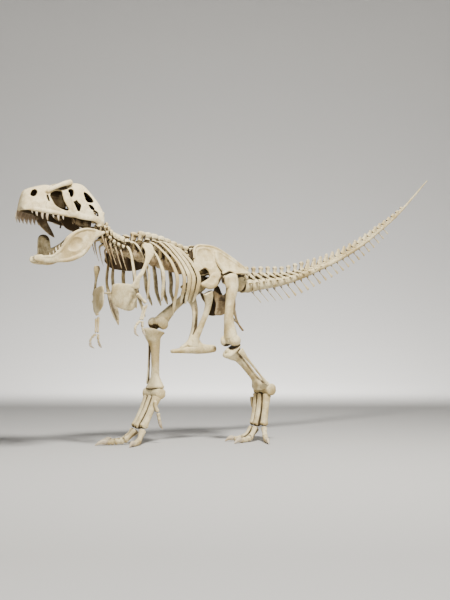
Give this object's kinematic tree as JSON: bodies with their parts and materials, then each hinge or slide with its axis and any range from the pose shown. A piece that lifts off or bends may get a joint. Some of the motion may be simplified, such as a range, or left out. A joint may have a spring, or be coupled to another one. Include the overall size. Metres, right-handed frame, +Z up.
{
  "type": "mounted tyrannosaurus rex skeleton",
  "caption": "Life-size mounted Tyrannosaurus rex skeleton, striding on two legs with its mouth open and its tail held out behind.",
  "frame": {"origin": "on the floor under the middle of the skeleton's bounding box", "axes": "+Z up, the animal faces -X, its left side is -Y"},
  "size_m": [10.5504, 2.1639, 5.8166],
  "materials": {
    "bone": "matt ivory fossil bone, browner in its hollows",
    "skull": "matt ivory fossil bone, dark brown inside",
    "digit": "matt ivory fossil bone",
    "tooth": "smooth worn enamel, slightly glossier than the bone",
    "claw": "smooth fossil claw bone, a little darker than the rest"
  },
  "bodies": {
    "root": {"ankle_left": "bone", "ankle_right": "bone", "cranium": "skull", "femur_left": "bone", "femur_right": "bone", "fibula_left": "bone", "fibula_right": "bone", "finger_1_left": "digit", "finger_1_right": "digit", "finger_2_left": "digit", "finger_2_right": "digit", "furcula": "bone", "humerus_left": "bone", "humerus_right": "bone", "ilium_left": "bone", "ilium_right": "bone", "ischia": "bone", "mandible": "skull", "metatarsal_ii_left": "bone", "metatarsal_ii_right": "bone", "metatarsal_iii_left": "bone", "metatarsal_iii_right": "bone", "metatarsal_iv_left": "bone", "metatarsal_iv_right": "bone", "neck_back": "bone", "neck_front": "bone", "pubes": "bone", "radius_left": "bone", "radius_right": "bone", "sacrum": "bone", "scapula_left": "bone", "scapula_right": "bone", "tail_1": "bone", "tail_2": "bone", "tail_3": "bone", "tail_4": "bone", "tibia_left": "bone", "tibia_right": "bone", "toe_i_left": "digit", "toe_i_right": "digit", "toe_ii_left": "digit", "toe_ii_right": "digit", "toe_iii_left": "digit", "toe_iii_right": "digit", "toe_iv_left": "digit", "toe_iv_right": "digit", "trunk_left": "bone", "trunk_right": "bone", "ulna_left": "bone", "ulna_right": "bone"}
  },
  "joints": []
}
